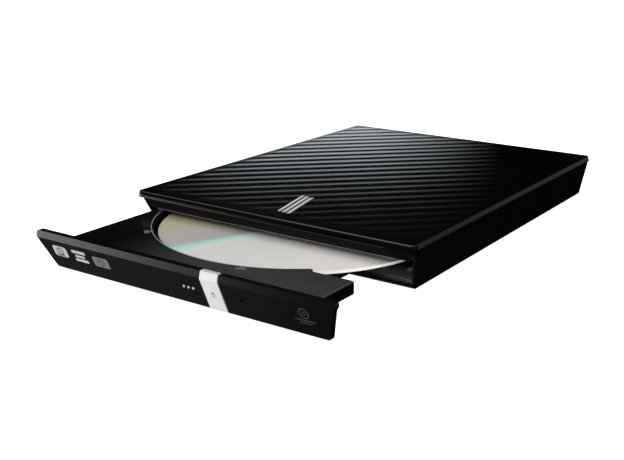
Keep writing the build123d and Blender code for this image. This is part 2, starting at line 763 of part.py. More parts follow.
with BuildPart() as rod_clips:
    for x in (rod_left, rod_right):
        for y0 in (clip_front, clip_back):
            slab(x - 1.9, x + 1.9, y0, y0 + 2.0, frame_top, 7.8)
    for x in (rod_left, rod_right):
        with BuildSketch(across(rod_front)):
            with Locations((x, rod_z)):
                Circle(rod_radius + 0.02)
        extrude(amount=-(rod_back - rod_front), mode=Mode.SUBTRACT)
rod_clips.part.label = "rod_clips"
export_step(rod_clips.part, "parts/rod_clips.step")

with BuildPart() as guide_rods:
    for x in (rod_left, rod_right):
        with BuildSketch(across(rod_front)):
            with Locations((x, rod_z)):
                Circle(rod_radius)
        extrude(amount=-(rod_back - rod_front))
guide_rods.part.label = "guide_rods"
export_step(guide_rods.part, "parts/guide_rods.step")

with BuildPart() as damper_pads:
    for x, y in frame_posts:
        post(x, y, 3.5, 5.32, 1.4)
        post(x, y, 3.5, frame_low - 0.02, 2.4)
        post(x, y, frame_top + 0.02, 5.32, 2.4)
        post(x, y, 3.4, 5.4, 0.75, Mode.SUBTRACT)
damper_pads.part.label = "damper_pads"
export_step(damper_pads.part, "parts/damper_pads.step")

with BuildPart() as frame_screws:
    for x, y in frame_posts:
        post(x, y, 3.1, 3.48, 1.8)
        post(x, y, 3.4, 7.2, 0.68)
frame_screws.part.label = "frame_screws"
export_step(frame_screws.part, "parts/frame_screws.step")

with BuildPart() as sled_cover:
    extrude(sled_window(cover_low, 0.0), amount=0.5)
    # slot for the lens, running into the round opening for the turntable
    slab(-5.5, 5.5, -36.0, disc_y, cover_low - 1, cover_low + 1, Mode.SUBTRACT)
    post(disc_x, disc_y, cover_low - 1, cover_low + 1, 13.4, Mode.SUBTRACT)
sled_cover.part.label = "sled_cover"
export_step(sled_cover.part, "parts/sled_cover.step")

shaft_radius = 0.75
with BuildPart() as spindle_motor:
    post(disc_x, disc_y, 3.2, 7.0, 10.6)
    post(disc_x, disc_y, frame_top + 0.02, 5.3, 13.5)
    post(disc_x, disc_y, 3.1, 7.1, shaft_radius + 0.05, Mode.SUBTRACT)
spindle_motor.part.label = "spindle_motor"
export_step(spindle_motor.part, "parts/spindle_motor.step")

pad_low = disc_low - 0.25
hub_radius = 7.35
with BuildPart() as turntable:
    post(disc_x, disc_y, 7.3, pad_low, 12.2)
    post(disc_x, disc_y, 7.2, disc_low + 2.2, hub_radius)
    post(disc_x, disc_y, 3.6, 7.4, shaft_radius)
    fillet(turntable.faces().sort_by(Axis.Z)[-1].edges(), 0.8)
    with BuildSketch(level(disc_low + 2.2)):
        with Locations((disc_x, disc_y)):
            Circle(2.6)
    extrude(amount=-1.2, mode=Mode.SUBTRACT)
    # pockets for the balls that grip the disc's rim
    ball_spots = [(6.9 * cos(radians(a)), disc_y + 6.9 * sin(radians(a))) for a in (90, 210, 330)]
    for x, y in ball_spots:
        post(x, y, disc_low + 1.23, disc_low + 2.4, 1.0, Mode.SUBTRACT)
turntable.part.label = "turntable"
export_step(turntable.part, "parts/turntable.step")

with BuildPart() as clamp_balls:
    for x, y in ball_spots:
        with Locations((x, front_y + y, disc_low + disc_thick + 0.95)):
            Sphere(0.85)
clamp_balls.part.label = "clamp_balls"
export_step(clamp_balls.part, "parts/clamp_balls.step")

with BuildPart() as turntable_pad:
    post(disc_x, disc_y, pad_low, disc_low, 11.9)
    post(disc_x, disc_y, pad_low - 1, disc_low + 1, 8.4, Mode.SUBTRACT)
turntable_pad.part.label = "turntable_pad"
export_step(turntable_pad.part, "parts/turntable_pad.step")

with BuildPart() as disc:
    post(disc_x, disc_y, disc_low, disc_low + disc_thick, disc_radius)
    post(disc_x, disc_y, disc_low - 1, disc_low + disc_thick + 1, disc_hole, Mode.SUBTRACT)
    chamfer(disc.edges().filter_by(GeomType.CIRCLE).group_by(SortBy.RADIUS)[-1], 0.12)
    # moulded stacking ring
    with BuildSketch(level(disc_low + disc_thick)):
        with Locations((disc_x, disc_y)):
            Circle(17.0)
            Circle(16.4, mode=Mode.SUBTRACT)
    extrude(amount=0.15)
disc.part.label = "disc"
export_step(disc.part, "parts/disc.step")

with BuildPart() as feed_motor:
    with BuildSketch(across(clip_back + 0.2)):
        with Locations((feed_x, feed_z)):
            Circle(2.3)
    extrude(amount=-13.0)
    slab(feed_x - 3.3, feed_x + 3.3, clip_back + 0.2, clip_back + 0.9, 3.4, 7.8)
    with BuildSketch(across(clip_back)):
        with Locations((feed_x, feed_z)):
            Circle(0.65)
    extrude(amount=-4.0, mode=Mode.SUBTRACT)
feed_motor.part.label = "feed_motor"
export_step(feed_motor.part, "parts/feed_motor.step")

with BuildPart() as screw_bracket:
    slab(feed_x - 2.0, feed_x + 2.0, clip_front, clip_front + 1.6, frame_top, 7.4)
    with BuildSketch(across(clip_front - 1)):
        with Locations((feed_x, feed_z)):
            Circle(0.65)
    extrude(amount=-4.0, mode=Mode.SUBTRACT)
screw_bracket.part.label = "screw_bracket"
export_step(screw_bracket.part, "parts/screw_bracket.step")

with BuildPart() as lead_screw:
    with BuildSketch(across(clip_front + 2.2)):
        with Locations((feed_x, feed_z)):
            Circle(feed_screw_radius)
    extrude(amount=-(clip_back - 0.6 - clip_front - 2.2))
    with BuildSketch(across(clip_front + 0.4)):
        with Locations((feed_x, feed_z)):
            Circle(0.6)
    extrude(amount=-(clip_back - clip_front + 1.6))
    # thread relief, drawn as rings one pitch apart
    for turn in range(14):
        groove_y = clip_front + 4.0 + turn * screw_pitch
        with BuildSketch(across(groove_y)):
            with Locations((feed_x, feed_z)):
                Circle(feed_screw_radius + 0.5)
                Circle(feed_screw_radius - 0.2, mode=Mode.SUBTRACT)
        extrude(amount=-screw_pitch * 0.4, mode=Mode.SUBTRACT)
lead_screw.part.label = "lead_screw"
export_step(lead_screw.part, "parts/lead_screw.step")

sled_front = sled_y - 4.0
sled_rear = sled_y + 8.0
with BuildPart() as laser_sled:
    slab(rod_left + 2.4, rod_right - 2.4, sled_front, sled_rear, 4.9, 7.6)
    # bushes on the rods
    slab(rod_left - 2.5, rod_left + 2.6, sled_front, sled_rear, 4.2, 7.4)
    slab(rod_right - 2.6, rod_right + 2.5, sled_front + 3.0, sled_rear - 3.0, 4.2, 7.4)
    for x in (rod_left, rod_right):
        with BuildSketch(across(sled_front - 1)):
            with Locations((x, rod_z)):
                Circle(rod_radius + 0.06)
        extrude(amount=-(sled_rear - sled_front + 2), mode=Mode.SUBTRACT)
    # arm that follows the lead screw, and the well for the lens
    slab(feed_x + feed_screw_radius + 0.3, rod_left - 2.4, sled_y + 2.0, sled_y + 7.0, 4.9, 7.2)
    post(0, sled_y, 6.2, 8.0, 3.4, Mode.SUBTRACT)
laser_sled.part.label = "laser_sled"
export_step(laser_sled.part, "parts/laser_sled.step")

with BuildPart() as lens_holder:
    post(0, sled_y, 6.2, 8.3, 3.2)
    post(0, sled_y, 6.9, 8.4, 2.2, Mode.SUBTRACT)
lens_holder.part.label = "lens_holder"
export_step(lens_holder.part, "parts/lens_holder.step")

with BuildPart() as lens:
    post(0, sled_y, 6.9, 8.5, 2.15)
    fillet(lens.faces().sort_by(Axis.Z)[-1].edges(), 0.7)
lens.part.label = "lens"
export_step(lens.part, "parts/lens.step")

# ==== latch ===================================================================================
with BuildPart() as latch_pin:
    post(latch_x, latch_y, 3.4, 6.5, 0.88)
    post(latch_x, latch_y, 3.4, 3.7, 1.5)
latch_pin.part.label = "latch_pin"
export_step(latch_pin.part, "parts/latch_pin.step")

with BuildPart() as latch_lever:
    lever_plane = Plane(origin=(latch_x, front_y + latch_y, 3.8), x_dir=(1, 0, 0), z_dir=(0, 0, 1))
    with BuildSketch(lever_plane.rotated((0, 0, latch_swing))):
        Circle(2.2)
        Polygon((-1.1, 0), (1.1, 0), (1.1, 8.2), (8.8, 8.2), (7.6, 10.0), (-1.1, 10.0), align=None)
        Circle(0.95, mode=Mode.SUBTRACT)
    extrude(amount=1.2)
latch_lever.part.label = "latch_lever"
export_step(latch_lever.part, "parts/latch_lever.step")

with BuildPart() as latch_solenoid:
    slab(-57.4, -51.4, -22.0, -12.0, 3.6, 7.9)
    with BuildSketch(across(-22.0)):
        with Locations((-54.4, 5.0)):
            Circle(0.8)
    extrude(amount=1.8)
latch_solenoid.part.label = "latch_solenoid"
export_step(latch_solenoid.part, "parts/latch_solenoid.step")
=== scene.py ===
"""Looks for the external optical drive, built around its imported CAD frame."""

import math

import bmesh
import bpy
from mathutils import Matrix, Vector


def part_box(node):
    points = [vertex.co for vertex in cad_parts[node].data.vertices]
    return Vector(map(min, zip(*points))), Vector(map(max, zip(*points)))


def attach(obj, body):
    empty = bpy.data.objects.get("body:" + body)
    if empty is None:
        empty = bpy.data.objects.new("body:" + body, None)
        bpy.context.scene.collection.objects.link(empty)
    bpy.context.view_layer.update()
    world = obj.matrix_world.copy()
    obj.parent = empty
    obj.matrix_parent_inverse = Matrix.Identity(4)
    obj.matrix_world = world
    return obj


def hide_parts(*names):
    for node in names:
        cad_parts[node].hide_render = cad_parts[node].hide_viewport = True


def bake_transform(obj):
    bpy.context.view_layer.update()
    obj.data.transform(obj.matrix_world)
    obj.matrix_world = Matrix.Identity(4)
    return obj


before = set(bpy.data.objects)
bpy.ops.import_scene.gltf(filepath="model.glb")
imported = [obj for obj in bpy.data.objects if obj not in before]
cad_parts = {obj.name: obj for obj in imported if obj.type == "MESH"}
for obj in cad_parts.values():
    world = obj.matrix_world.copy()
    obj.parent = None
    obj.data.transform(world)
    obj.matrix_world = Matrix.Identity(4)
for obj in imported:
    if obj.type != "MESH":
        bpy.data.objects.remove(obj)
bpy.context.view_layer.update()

MM = 0.001
RIM_OVERHANG = 0.9
FRONT_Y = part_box("top_cover")[0].y / MM + RIM_OVERHANG
LID_TOP = 20.9
LID_RIM = 18.3
LID_HALF = 68.5
LID_DEPTH = 169.7
DISC_Y = 27.0
DECK_TOP = 13.0


def case_point(x, y, z):
    """A point given in the case's own millimetres, as a vector in metres."""
    return Vector((x * MM, (y + FRONT_Y) * MM, z * MM))


# ---- finishes -----------------------------------------------------------------------------------
def new_material(name):
    material = bpy.data.materials.new(name)
    material.use_nodes = True
    return material, material.node_tree, material.node_tree.nodes["Principled BSDF"]


def add(tree, kind, inputs=None, **settings):
    """A node with its settings and its unlinked inputs."""
    made = tree.nodes.new(kind)
    for key, value in settings.items():
        setattr(made, key, value)
    for key, value in (inputs or {}).items():
        made.inputs[key].default_value = value
    return made


def noise_of(tree, size, detail=3.0, stretch=(1, 1, 1)):
    """Noise with features about `size` millimetres across, fixed to the object."""
    coords = add(tree, "ShaderNodeTexCoord")
    mapping = add(tree, "ShaderNodeMapping")
    mapping.inputs["Scale"].default_value = stretch
    tree.links.new(coords.outputs["Object"], mapping.inputs["Vector"])
    noise = add(tree, "ShaderNodeTexNoise", {"Scale": 1 / (size * MM), "Detail": detail})
    tree.links.new(mapping.outputs["Vector"], noise.inputs["Vector"])
    return noise


def finish(name, colour, rough, metal=0.0, mottle=0.12, patch=16.0, grain=0.4, relief=0.003,
           stretch=(1, 1, 1), rough_swing=0.15, **sockets):
    """Principled finish: colour drifts over `patch` mm, roughness and relief follow a grain."""
    material, tree, shader = new_material(name)
    drift = noise_of(tree, patch)
    ramp = add(tree, "ShaderNodeValToRGB")
    low, high = ramp.color_ramp.elements
    low.position, high.position = 0.3, 0.7
    low.color = (*[c * (1 - mottle) for c in colour], 1)
    high.color = (*[min(1.0, c * (1 + mottle)) for c in colour], 1)
    tree.links.new(drift.outputs["Fac"], ramp.inputs["Fac"])
    tree.links.new(ramp.outputs["Color"], shader.inputs["Base Color"])
    fine = noise_of(tree, grain, 2.0, stretch)
    spread = add(tree, "ShaderNodeMapRange", {
        "From Min": 0.3, "From Max": 0.7,
        "To Min": rough * (1 - rough_swing), "To Max": min(1.0, rough * (1 + rough_swing)),
    })
    tree.links.new(fine.outputs["Fac"], spread.inputs["Value"])
    tree.links.new(spread.outputs["Result"], shader.inputs["Roughness"])
    bump = add(tree, "ShaderNodeBump", {"Strength": 1.0, "Distance": relief * MM})
    tree.links.new(fine.outputs["Fac"], bump.inputs["Height"])
    tree.links.new(bump.outputs["Normal"], shader.inputs["Normal"])
    shader.inputs["Metallic"].default_value = metal
    for key, value in sockets.items():
        shader.inputs[key.replace("_", " ")].default_value = value
    return material


BLACK = (0.0016, 0.0017, 0.0018)
lid_gloss = finish("lid_gloss", BLACK, 0.09, relief=0.0001, grain=2.0, rough_swing=0.06)
bezel_gloss = finish("bezel_gloss", BLACK, 0.18, relief=0.0003, grain=1.2, rough_swing=0.08)
case_black = finish("case_black", BLACK, 0.24, relief=0.0003, grain=1.4, rough_swing=0.08)
fascia_black = finish(
    "fascia_black", BLACK, 0.6, relief=0.003, grain=0.5, Specular_IOR_Level=0.12)
SOFT_BLACK = (0.0018, 0.0019, 0.002)
satin = finish("black_satin", SOFT_BLACK, 0.34, relief=0.0008, grain=0.8)
silver = finish("silver_paint", (0.64, 0.65, 0.66), 0.34, metal=0.25, mottle=0.04, relief=0.001)
pale_mark = finish("pale_mark", (0.36, 0.37, 0.37), 0.5, mottle=0.08)
dim_mark = finish("dim_mark", (0.12, 0.125, 0.125), 0.5, mottle=0.08)
grey_mark = finish("grey_mark", (0.03, 0.031, 0.032), 0.45)
tab_grey = finish("tab_grey", (0.12, 0.122, 0.122), 0.45, relief=0.006)
light_pipe = finish("light_pipe", (0.34, 0.345, 0.34), 0.3, mottle=0.03)
sheet_steel = finish("sheet_steel", (0.55, 0.56, 0.57), 0.34, metal=1.0, stretch=(1, 0.03, 1))
bright_steel = finish("bright_steel", (0.68, 0.69, 0.7), 0.18, metal=1.0, stretch=(1, 0.05, 1))
screw_steel = finish("screw_steel", (0.16, 0.16, 0.17), 0.36, metal=1.0)
white_plastic = finish("white_plastic", (0.06, 0.06, 0.062), 0.5)
board_green = finish("board_green", (0.012, 0.10, 0.035), 0.4, mottle=0.3, patch=4.0)
chip_black = finish("chip_black", (0.012, 0.012, 0.013), 0.5)
rubber = finish("rubber", (0.014, 0.014, 0.015), 0.85, relief=0.02)
hub_plastic = finish("hub_plastic", (0.03, 0.03, 0.033), 0.38)
cast_metal = finish("cast_metal", (0.34, 0.34, 0.35), 0.5, metal=1.0, relief=0.02, mottle=0.2)
ribbon_film = finish("ribbon_film", (0.35, 0.13, 0.03), 0.35, patch=2.0)
lens_glass = finish("lens_glass", (0.5, 0.62, 0.75), 0.05, mottle=0.05, relief=0.0)
icon_grey = finish("icon_grey", (0.2, 0.2, 0.21), 0.5)
# light greys for painted highlights: on the slot's lip, on the shield's edge and on the recess rim
lip_highlight_grey = finish("lip_highlight_grey", (0.22, 0.215, 0.2), 0.35, metal=0.3)
highlight_grey = finish("highlight_grey", (0.2, 0.205, 0.2), 0.4)

NODES_OF_FINISH = (
    (fascia_black, ("front_fascia",)),
    (case_black, ("bottom_case",)),
    (lid_gloss, ("top_cover",)),
    (bezel_gloss, ("bezel", "format_tiles", "disc_pictogram")),
    (satin, ("tray", "rod_clips", "lens_holder", "power_jack")),
    (silver, ("lid_badge", "eject_button")),
    (tab_grey, ("disc_tabs",)),
    (light_pipe, ("light_pipes",)),
    (sheet_steel, (
        "chassis_pan", "chassis_lid", "rail_left", "rail_right", "sled_frame", "sled_cover",
        "usb_socket", "latch_solenoid", "spindle_motor", "feed_motor", "screw_bracket",
        "crystal", "eject_switch",
    )),
    (bright_steel, (
        "guide_rods", "lead_screw", "clamp_balls", "latch_pin", "latch_post", "power_jack_pin",
    )),
    (screw_steel, ("case_screws", "board_screws", "frame_screws")),
    (white_plastic, ("guide_left", "guide_right", "latch_lever")),
    (board_green, ("bridge_board", "main_board", "tray_board")),
    (chip_black, (
        "bridge_chip", "main_chips", "sata_socket", "drive_connector", "capacitors",
    )),
    (rubber, ("feet", "damper_pads", "turntable_pad")),
    (hub_plastic, ("turntable",)),
    (cast_metal, ("laser_sled",)),
    (ribbon_film, ("flex_cable",)),
    (lens_glass, ("lens",)),
)


def paint(obj, material):
    obj.data.materials.clear()
    obj.data.materials.append(material)


for material, names in NODES_OF_FINISH:
    for name in names:
        paint(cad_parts[name], material)


# painted reflection: a grey tone over the deck's front right, standing in for a soft reflection
PAINTED_REFLECTION_GREY = (0.034, 0.037, 0.038, 1)
REFLECTION_FROM_X = (-45.0, 0.0)     # case millimetres over which the grey comes in, to the right
REFLECTION_FROM_Z = (12.2, 12.6)     # and upwards, so that only the deck's top has it
COLOUR_A, COLOUR_B = 6, 7      # the Mix node's colour inputs


def deck_material():
    """Black tray plastic with a painted grey tone on the deck's right, in place of a reflection."""
    material = finish("tray_satin_and_reflection", SOFT_BLACK, 0.2, relief=0.0003, grain=1.2)
    tree = material.node_tree
    shader = tree.nodes["Principled BSDF"]
    black = shader.inputs["Base Color"].links[0].from_socket
    parts = add(tree, "ShaderNodeSeparateXYZ")
    tree.links.new(add(tree, "ShaderNodeTexCoord").outputs["Object"], parts.inputs[0])
    right = add(tree, "ShaderNodeMapRange", {
        "From Min": REFLECTION_FROM_X[0] * MM, "From Max": REFLECTION_FROM_X[1] * MM,
    }, interpolation_type="SMOOTHSTEP")
    tree.links.new(parts.outputs["X"], right.inputs["Value"])
    high = add(tree, "ShaderNodeMapRange", {
        "From Min": REFLECTION_FROM_Z[0] * MM, "From Max": REFLECTION_FROM_Z[1] * MM,
    })
    tree.links.new(parts.outputs["Z"], high.inputs["Value"])
    share = add(tree, "ShaderNodeMath", operation="MULTIPLY")
    tree.links.new(right.outputs["Result"], share.inputs[0])
    tree.links.new(high.outputs["Result"], share.inputs[1])
    blend = add(tree, "ShaderNodeMix", data_type="RGBA")
    tree.links.new(share.outputs[0], blend.inputs["Factor"])
    tree.links.new(black, blend.inputs[COLOUR_A])
    blend.inputs[COLOUR_B].default_value = PAINTED_REFLECTION_GREY
    tree.links.new(blend.outputs[2], shader.inputs["Base Color"])
    return material


tray_satin_and_reflection = deck_material()


# ---- the disc: pale layer with painted reflections in fixed streaks of colour ---------------
def disc_material():
    """Pale layer with painted reflections: tints and lighter and darker wedges follow the angle
    round the hub, as pressed grooves split the light.
    """
    material, tree, shader = new_material("disc_layer")
    links = tree.links
    coords = add(tree, "ShaderNodeTexCoord")
    centre = add(tree, "ShaderNodeVectorMath", operation="SUBTRACT")
    centre.inputs[1].default_value = case_point(0, DISC_Y, 0)
    links.new(coords.outputs["Object"], centre.inputs[0])
    parts = add(tree, "ShaderNodeSeparateXYZ")
    links.new(centre.outputs[0], parts.inputs[0])
    angle = add(tree, "ShaderNodeMath", operation="ARCTAN2")
    links.new(parts.outputs["Y"], angle.inputs[0])
    links.new(parts.outputs["X"], angle.inputs[1])
    turn = add(tree, "ShaderNodeMapRange", {
        "From Min": -math.pi, "From Max": math.pi, "To Min": 0.0, "To Max": 1.0,
    })
    links.new(angle.outputs[0], turn.inputs["Value"])
    ramp = add(tree, "ShaderNodeValToRGB")
    for element in list(ramp.color_ramp.elements)[1:]:
        ramp.color_ramp.elements.remove(element)
    # painted reflection colours, by share of the circle counted from the left (180 degrees),
    # towards the front and on
    stops = [
        (0.00, (0.49, 0.46, 0.41)),
        (0.06, (0.50, 0.49, 0.37)),
        (0.09, (0.57, 0.53, 0.34)),
        (0.125, (0.57, 0.53, 0.44)),
        (0.155, (0.54, 0.49, 0.50)),
        (0.178, (0.52, 0.50, 0.49)),
        (0.184, (0.41, 0.79, 0.68)),
        (0.190, (0.46, 0.84, 0.73)),
        (0.200, (0.79, 0.82, 0.78)),
        (0.28, (0.82, 0.80, 0.78)),
        (0.40, (0.90, 0.87, 0.84)),
        (0.52, (0.82, 0.82, 0.75)),
        (0.66, (0.57, 0.54, 0.54)),
        (0.687, (0.41, 0.79, 0.68)),
        (0.70, (0.79, 0.82, 0.78)),
        (0.84, (0.82, 0.80, 0.78)),
        (1.00, (0.49, 0.46, 0.41)),
    ]
    ramp.color_ramp.elements[0].position = stops[0][0]
    ramp.color_ramp.elements[0].color = (*stops[0][1], 1)
    for position, colour in stops[1:]:
        element = ramp.color_ramp.elements.new(position)
        element.color = (*colour, 1)
    links.new(turn.outputs["Result"], ramp.inputs["Fac"])
    links.new(ramp.outputs["Color"], shader.inputs["Base Color"])
    fine = noise_of(tree, 0.5, 2.0)
    spread = add(tree, "ShaderNodeMapRange", {"To Min": 0.27, "To Max": 0.33})
    links.new(fine.outputs["Fac"], spread.inputs["Value"])
    links.new(spread.outputs["Result"], shader.inputs["Roughness"])
    shader.inputs["Metallic"].default_value = 0.05
    shader.inputs["Coat Weight"].default_value = 0.5
    shader.inputs["Coat Roughness"].default_value = 0.08
    return material


paint(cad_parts["disc"], disc_material())


# ---- meshes -------------------------------------------------------------------------------------
def mesh_piece(name, points, faces, material, body, smooth_below=35.0):
    """A piece from points in case millimetres, smooth except where faces turn sharply."""
    mesh = bpy.data.meshes.new(name)
    mesh.from_pydata([case_point(*p) for p in points], [], faces)
    mesh.validate()
    mesh.shade_smooth()
    mesh.set_sharp_from_angle(angle=math.radians(smooth_below))
    piece = bpy.data.objects.new(name, mesh)
    bpy.context.scene.collection.objects.link(piece)
    paint(piece, material)
    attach(piece, body)
    return piece


# the ridged lid
RIDGE_PITCH = 8.4
RIDGE_ANGLE = math.radians(42.0)
RIDGE_DEPTH = 0.05
GRID_STEP = 0.7
CORNER = 1.8
PLAIN_SIDE = (1.2, 5.0)        # the ridges come in over this distance from the sides and back ...
PLAIN_FRONT = (5.0, 11.0)      # ... and from the front edge


def smooth_step(value, start, end):
    share = min(1.0, max(0.0, (value - start) / (end - start)))
    return share * share * (3 - 2 * share)


def ridge_height(x, y):
    """Height of the lid's top: rounded ridges that fade out towards the edges."""
    across = -x * math.sin(RIDGE_ANGLE) + (y - LID_DEPTH / 2) * math.cos(RIDGE_ANGLE)
    wave = 0.5 + 0.5 * math.cos(2 * math.pi * across / RIDGE_PITCH)
    edge = min(LID_HALF - abs(x), LID_DEPTH - y)
    fade = smooth_step(edge, *PLAIN_SIDE) * smooth_step(y, *PLAIN_FRONT)
    return LID_TOP - RIDGE_DEPTH * wave * fade


def rounded_corner(x, y):
    """Moves a point of the square-cornered grid so that the outline's corners become round."""
    near_x = abs(x) - (LID_HALF - CORNER)
    low_y, high_y = CORNER, LID_DEPTH - CORNER
    near_y = max(low_y - y, y - high_y)
    if near_x <= 0 or near_y <= 0:
        return x, y
    scale = max(near_x, near_y) / math.hypot(near_x, near_y)
    new_x = math.copysign(LID_HALF - CORNER + near_x * scale, x)
    new_y = low_y - near_y * scale if y < low_y else high_y + near_y * scale
    return new_x, new_y


def build_lid():
    columns = round(2 * LID_HALF / GRID_STEP)
    rows = round(LID_DEPTH / GRID_STEP)
    points, faces = [], []
    for j in range(rows + 1):
        for i in range(columns + 1):
            flat_x = -LID_HALF + 2 * LID_HALF * i / columns
            flat_y = LID_DEPTH * j / rows
            x, y = rounded_corner(flat_x, flat_y)
            points.append((x, y, ridge_height(flat_x, flat_y)))
    wide = columns + 1
    for j in range(rows):
        for i in range(columns):
            a = j * wide + i
            faces.append((a, a + 1, a + wide + 1, a + wide))
    border = (
        list(range(columns))
        + [j * wide + columns for j in range(rows)]
        + [rows * wide + i for i in range(columns, 0, -1)]
        + [j * wide for j in range(rows, 0, -1)]
    )

    def outward(x, y):
        away_x = max(0.0, abs(x) - (LID_HALF - CORNER))
        away_y = max(0.0, CORNER - y, y - (LID_DEPTH - CORNER))
        direction = Vector((math.copysign(away_x, x), -away_y if y < CORNER else away_y))
        return direction.normalized()

    # the edge rolls over, leans out to the rim, and turns under to meet the inner shell
    rim = [
        (0.12, LID_TOP - 0.03), (0.25, LID_TOP - 0.14), (0.34, LID_TOP - 0.32),
        (0.86, LID_RIM + 0.32), (RIM_OVERHANG, LID_RIM + 0.12), (0.84, LID_RIM),
        (0.5, LID_RIM), (-2.9, LID_RIM), (-3.0, LID_RIM + 0.1), (-3.0, LID_TOP - 1.6),
    ]
    previous = border
    for reach, z in rim:
        start = len(points)
        for index in border:
            x, y, _ = points[index]
            out = outward(x, y)
            points.append((x + out.x * reach, y + out.y * reach, z))
        ring = list(range(start, start + len(border)))
        for k in range(len(border)):
            following = (k + 1) % len(border)
            faces.append((previous[following], previous[k], ring[k], ring[following]))
        previous = ring
    faces.append(tuple(reversed(previous)))
    lid = mesh_piece("ridged_lid", points, faces, lid_gloss, "case")
    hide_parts("top_cover")


build_lid()


WELD = 0.002                   # points nearer than this are one
FLAT_BELOW = 0.6               # faces within this many degrees are one flat face
EDGE_ABOVE = 28                # edges sharper than this are rounded


def soften(node, name, width, material, body, segments=3):
    """A copy of a CAD node's shape with its edges rounded, standing for that node."""
    work = bmesh.new()
    work.from_mesh(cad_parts[node].data)
    bmesh.ops.remove_doubles(work, verts=work.verts, dist=WELD * MM)
    bmesh.ops.dissolve_limit(
        work, angle_limit=math.radians(FLAT_BELOW), verts=work.verts, edges=work.edges)
    mesh = bpy.data.meshes.new(name)
    work.to_mesh(mesh)
    work.free()
    stale = mesh.attributes.get("custom_normal")
    if stale:
        mesh.attributes.remove(stale)
    mesh.shade_smooth()
    piece = bpy.data.objects.new(name, mesh)
    bpy.context.scene.collection.objects.link(piece)
    bevel = piece.modifiers.new("edge", "BEVEL")
    bevel.width = width * MM
    bevel.segments = segments
    bevel.limit_method = "ANGLE"
    bevel.angle_limit = math.radians(EDGE_ABOVE)
    bevel.use_clamp_overlap = True
    normals = piece.modifiers.new("flat_faces", "WEIGHTED_NORMAL")
    normals.weight = 100
    paint(piece, material)
    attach(piece, body)
    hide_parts(node)


soften("bezel", "bezel_shell", 0.3, bezel_gloss, "tray")
soften("bottom_case", "lower_shell", 0.35, case_black, "case")
soften("eject_button", "eject_strip", 0.12, silver, "button")
soften("tray", "tray_moulding", 0.15, tray_satin_and_reflection, "tray", 2)


# ---- marks, trims and small parts ---------------------------------------------------------------
FACE_FOOT = (-47.7, 1.1)       # Y and Z of the bezel's leaning face at its foot ...
FACE_HEAD = (-52.9, 13.9)      # ... and where the bright band starts
STRIP_PROUD = 0.35


def on_face(x, z, out):
    """Point on the bezel's leaning face, `out` in front of it."""
    share = (z - FACE_FOOT[1]) / (FACE_HEAD[1] - FACE_FOOT[1])
    return x, FACE_FOOT[0] + share * (FACE_HEAD[0] - FACE_FOOT[0]) - out, z


def on_strip(x, z, out):
    return on_face(x, z, STRIP_PROUD + out)


def on_deck(x, y, out):
    return x, y, DECK_TOP + out


def on_lid(x, y, out):
    return x, y, LID_TOP + out


def add_plate(points, faces, outline, lift, thick, place, edge=0.0):
    """Thin plate with an outline, its upper rim drawn in by `edge`."""
    count = len(outline)
    middle_u = sum(u for u, _ in outline) / count
    middle_v = sum(v for _, v in outline) / count
    start = len(points)
    for level, pull in ((lift, 0.0), (lift + thick - edge, 0.0), (lift + thick, edge)):
        for u, v in outline:
            reach = math.hypot(u - middle_u, v - middle_v)
            share = 1 - pull / reach
            points.append(place(middle_u + (u - middle_u) * share,
                                middle_v + (v - middle_v) * share, level))
    faces.append(tuple(range(start, start + count)))
    faces.append(tuple(reversed(range(start + 2 * count, start + 3 * count))))
    for ring in (0, 1):
        low = start + ring * count
        for k in range(count):
            following = (k + 1) % count
            faces.append((low + following, low + k, low + count + k, low + count + following))


def add_stroke(points, faces, path, width, lift, thick, place, closed=False):
    """Raised line of a steady width along a path."""
    count = len(path)
    start = len(points)
    for k, (u, v) in enumerate(path):
        before = path[k - 1] if closed or k else path[k]
        after = path[(k + 1) % count] if closed or k < count - 1 else path[k]
        du, dv = after[0] - before[0], after[1] - before[1]
        length = math.hypot(du, dv)
        nu, nv = -dv / length * width / 2, du / length * width / 2
        for sign, level in ((1, lift), (-1, lift), (-1, lift + thick), (1, lift + thick)):
            points.append(place(u + sign * nu, v + sign * nv, level))
    for k in range(count if closed else count - 1):
        here, there = start + 4 * k, start + 4 * ((k + 1) % count)
        for corner in range(4):
            step = (corner + 1) % 4
            faces.append((here + corner, there + corner, there + step, here + step))
    if not closed:
        last = start + 4 * (count - 1)
        faces.append((start, start + 1, start + 2, start + 3))
        faces.append((last + 3, last + 2, last + 1, last))


def rounded_box(u0, u1, v0, v1, radius, steps=5):
    """Outline of a box with round corners, anticlockwise."""
    outline = []
    for u, v, first in ((u1, v1, 0), (u0, v1, 90), (u0, v0, 180), (u1, v0, 270)):
        centre_u = u - radius if u == u1 else u + radius
        centre_v = v - radius if v == v1 else v + radius
        for k in range(steps + 1):
            angle = math.radians(first + 90 * k / steps)
            outline.append((centre_u + radius * math.cos(angle),
                            centre_v + radius * math.sin(angle)))
    return outline


def ellipse(u, v, radius_u, radius_v, first=0.0, last=360.0, steps=36):
    """Points round an ellipse, or along a part of it."""
    whole = last - first >= 360
    return [
        (u + radius_u * math.cos(math.radians(first + (last - first) * k / steps)),
         v + radius_v * math.sin(math.radians(first + (last - first) * k / steps)))
        for k in range(steps if whole else steps + 1)
    ]


def relief(name, plates, strokes, place, material, body, slot, lift=-0.06, thick=0.1):
    """One piece made of thin plates and raised lines on a surface."""
    points, faces = [], []
    for outline in plates:
        add_plate(points, faces, outline, lift, thick, place, 0.03)
    for path, width, closed in strokes:
        add_stroke(points, faces, path, width, lift, thick, place, closed)
    return mesh_piece(name, points, faces, material, body)


